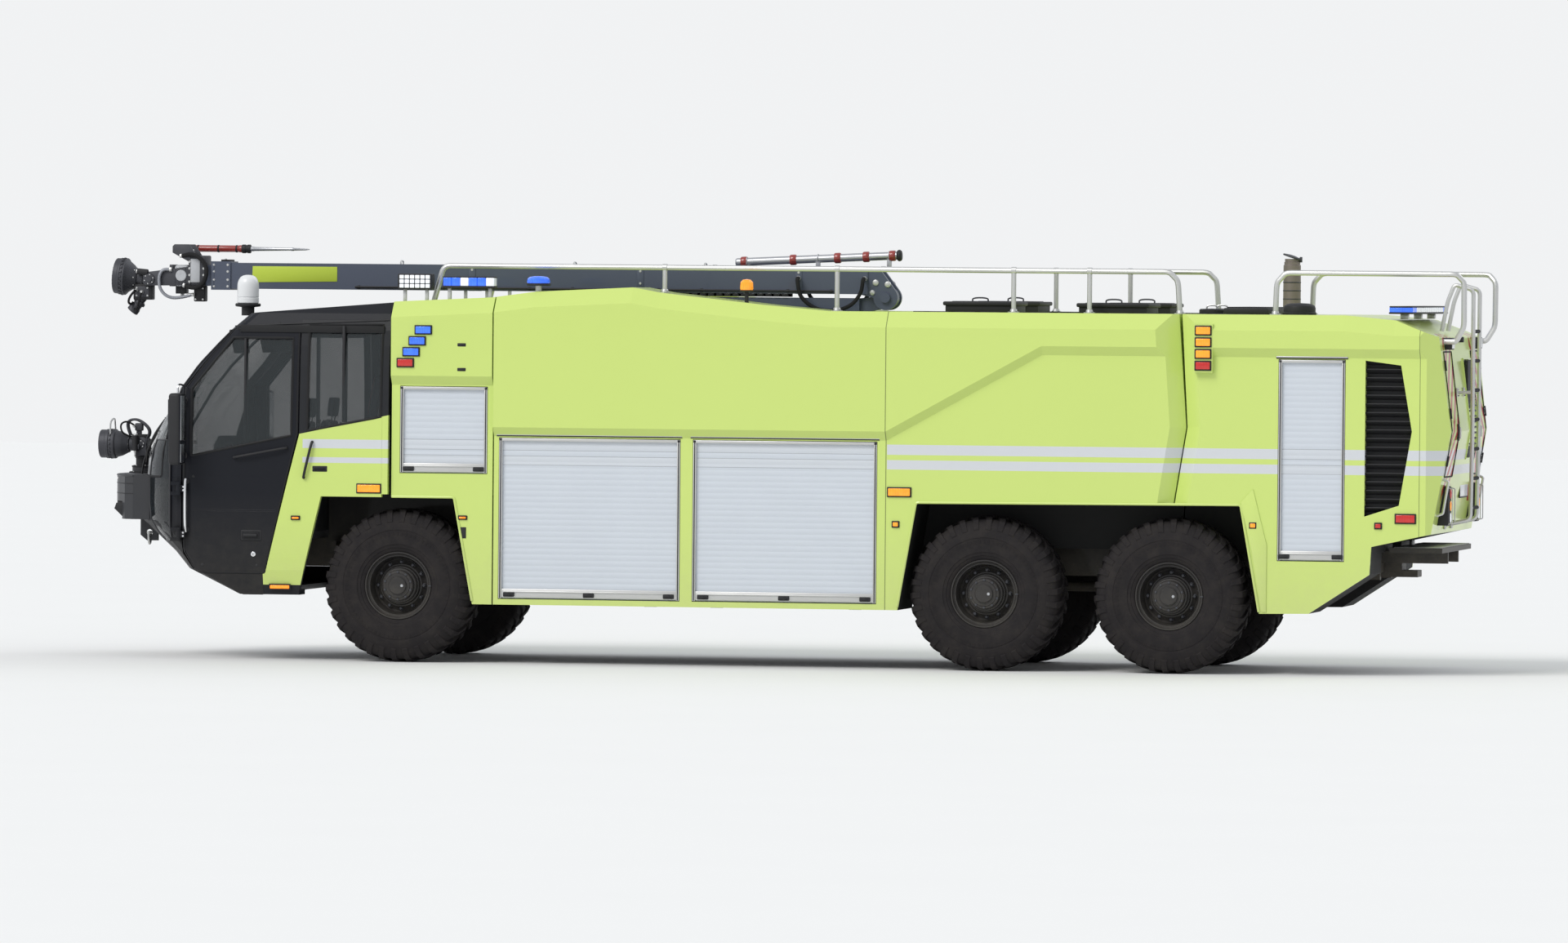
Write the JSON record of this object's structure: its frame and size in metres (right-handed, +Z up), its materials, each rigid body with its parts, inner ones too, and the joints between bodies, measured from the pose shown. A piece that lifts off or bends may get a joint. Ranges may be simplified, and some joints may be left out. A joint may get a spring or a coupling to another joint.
{
  "type": "airport fire truck",
  "caption": "Three-axle airport crash tender with a folding roof boom, bumper turret, opening cab doors and steered front wheels.",
  "frame": {"origin": "middle of the bounding box at ground level", "axes": "front towards -X, left side towards -Y, +Z up"},
  "size_m": [12.6498, 3.58, 3.735],
  "materials": {
    "lime_paint": "gloss",
    "black_paint": "gloss",
    "dark_plastic": "matte",
    "glass": "polished",
    "seat_fabric": "matte",
    "lamp_clear": "polished",
    "lamp_amber": "gloss",
    "lamp_blue": "gloss",
    "lamp_red": "gloss",
    "turret_metal": "satin",
    "tyre": "matte",
    "rim_paint": "satin",
    "chassis_paint": "satin",
    "engine_iron": "matte",
    "shutter_aluminium": "satin",
    "rail_steel": "satin",
    "white_paint": "gloss",
    "boom_paint": "satin",
    "pipe_steel": "satin",
    "lance_red": "gloss"
  },
  "bodies": {
    "truck": {"cab_nose": "black_paint", "cab_roof": "black_paint", "cab_sides": "lime_paint", "cab_rear_wall": "lime_paint", "cab_floor": "dark_plastic", "windscreen": "glass", "cab_side_windows": "glass", "dashboard": "dark_plastic", "seats": "seat_fabric", "bumper": "black_paint", "headlamps": "lamp_clear", "front_axle": "chassis_paint", "rear_axles": "chassis_paint", "springs": "chassis_paint", "chassis_frame": "chassis_paint", "engine_block": "engine_iron", "body_front": "lime_paint", "body_tank": "lime_paint", "body_rear": "lime_paint", "shutters": "shutter_aluminium", "intake_grilles": "dark_plastic", "side_lamps_amber": "lamp_amber", "side_lamps_blue": "lamp_blue", "side_lamps_red": "lamp_red", "roof_lamps": "lamp_blue", "camera_dome": "white_paint", "roof_boxes": "dark_plastic", "exhaust_stack": "rail_steel", "roof_rails": "rail_steel", "rear_ladder": "rail_steel", "turntable": "boom_paint"},
    "door_left": {"door_left": "black_paint", "door_glass_left": "glass"},
    "door_right": {"door_right": "black_paint", "door_glass_right": "glass"},
    "front_steer_left": {"knuckle_left": "chassis_paint"},
    "front_steer_right": {"knuckle_right": "chassis_paint"},
    "wheel_front_left": {"tyre_front_left": "tyre", "rim_front_left": "rim_paint"},
    "wheel_front_right": {"tyre_front_right": "tyre", "rim_front_right": "rim_paint"},
    "wheel_mid_left": {"tyre_mid_left": "tyre", "rim_mid_left": "rim_paint"},
    "wheel_mid_right": {"tyre_mid_right": "tyre", "rim_mid_right": "rim_paint"},
    "wheel_rear_left": {"tyre_rear_left": "tyre", "rim_rear_left": "rim_paint"},
    "wheel_rear_right": {"tyre_rear_right": "tyre", "rim_rear_right": "rim_paint"},
    "bumper_turret": {"turret_yoke": "turret_metal"},
    "bumper_nozzle": {"turret_nozzle": "turret_metal"},
    "lower_boom": {"lower_boom": "boom_paint"},
    "upper_boom": {"upper_boom": "boom_paint", "boom_pipe": "pipe_steel"},
    "inner_boom": {"inner_boom": "boom_paint", "nozzle_head": "turret_metal"},
    "boom_nozzle": {"boom_nozzle": "turret_metal"},
    "piercing_lance": {"piercing_lance": "lance_red"}
  },
  "joints": [
    {"name": "steer_left", "type": "hinge", "parent": "truck", "child": "front_steer_left", "pos_m": [-3.235, -0.93, 0.685], "axis": [0, 0, 1], "range_deg": [-30, 30]},
    {"name": "steer_right", "type": "hinge", "parent": "truck", "child": "front_steer_right", "pos_m": [-3.235, 0.93, 0.685], "axis": [0, 0, 1], "range_deg": [-30, 30]},
    {"name": "spin_front_left", "type": "hinge", "parent": "front_steer_left", "child": "wheel_front_left", "pos_m": [-3.235, -1.118, 0.685], "axis": [0, 1, 0], "continuous": true},
    {"name": "spin_front_right", "type": "hinge", "parent": "front_steer_right", "child": "wheel_front_right", "pos_m": [-3.235, 1.118, 0.685], "axis": [0, 1, 0], "continuous": true},
    {"name": "spin_mid_left", "type": "hinge", "parent": "truck", "child": "wheel_mid_left", "pos_m": [2.075, -1.118, 0.685], "axis": [0, 1, 0], "continuous": true},
    {"name": "spin_mid_right", "type": "hinge", "parent": "truck", "child": "wheel_mid_right", "pos_m": [2.075, 1.118, 0.685], "axis": [0, 1, 0], "continuous": true},
    {"name": "spin_rear_left", "type": "hinge", "parent": "truck", "child": "wheel_rear_left", "pos_m": [3.725, -1.118, 0.685], "axis": [0, 1, 0], "continuous": true},
    {"name": "spin_rear_right", "type": "hinge", "parent": "truck", "child": "wheel_rear_right", "pos_m": [3.725, 1.118, 0.685], "axis": [0, 1, 0], "continuous": true},
    {"name": "door_left_hinge", "type": "hinge", "parent": "truck", "child": "door_left", "pos_m": [-5.225, -1.51, 1.8], "axis": [0, 0, -1], "range_deg": [0, 70]},
    {"name": "door_right_hinge", "type": "hinge", "parent": "truck", "child": "door_right", "pos_m": [-5.225, 1.51, 1.8], "axis": [0, 0, 1], "range_deg": [0, 70]},
    {"name": "bumper_turret_pan", "type": "hinge", "parent": "truck", "child": "bumper_turret", "pos_m": [-5.935, 0, 1.8], "axis": [0, 0, 1], "range_deg": [-60, 60]},
    {"name": "bumper_nozzle_tilt", "type": "hinge", "parent": "bumper_turret", "child": "bumper_nozzle", "pos_m": [-5.935, 0, 1.9], "axis": [0, 1, 0], "range_deg": [-15, 45]},
    {"name": "upper_boom_lift", "type": "hinge", "parent": "lower_boom", "child": "upper_boom", "pos_m": [0.935, 0, 3.29], "axis": [0, 1, 0], "range_deg": [0, 140]},
    {"name": "lower_boom_lift", "type": "hinge", "parent": "truck", "child": "lower_boom", "pos_m": [-1.335, 0, 3.17], "axis": [0, -1, 0], "range_deg": [0, 70]},
    {"name": "boom_telescope", "type": "slide", "parent": "upper_boom", "child": "inner_boom", "axis": [-1, 0, 0], "range_m": [0, 2.7]},
    {"name": "boom_nozzle_pitch", "type": "hinge", "parent": "inner_boom", "child": "boom_nozzle", "pos_m": [-5.865, 0, 3.4], "axis": [0, 1, 0], "range_deg": [-60, 20]},
    {"name": "lance_swing", "type": "hinge", "parent": "inner_boom", "child": "piercing_lance", "pos_m": [-5.605, 0, 3.682], "axis": [0, -1, 0], "range_deg": [0, 180]}
  ],
  "couplings": [
    {"joint": "steer_right", "follows": "steer_left", "ratio": 1},
    {"joint": "lower_boom_lift", "follows": "upper_boom_lift", "ratio": 0.5}
  ]
}
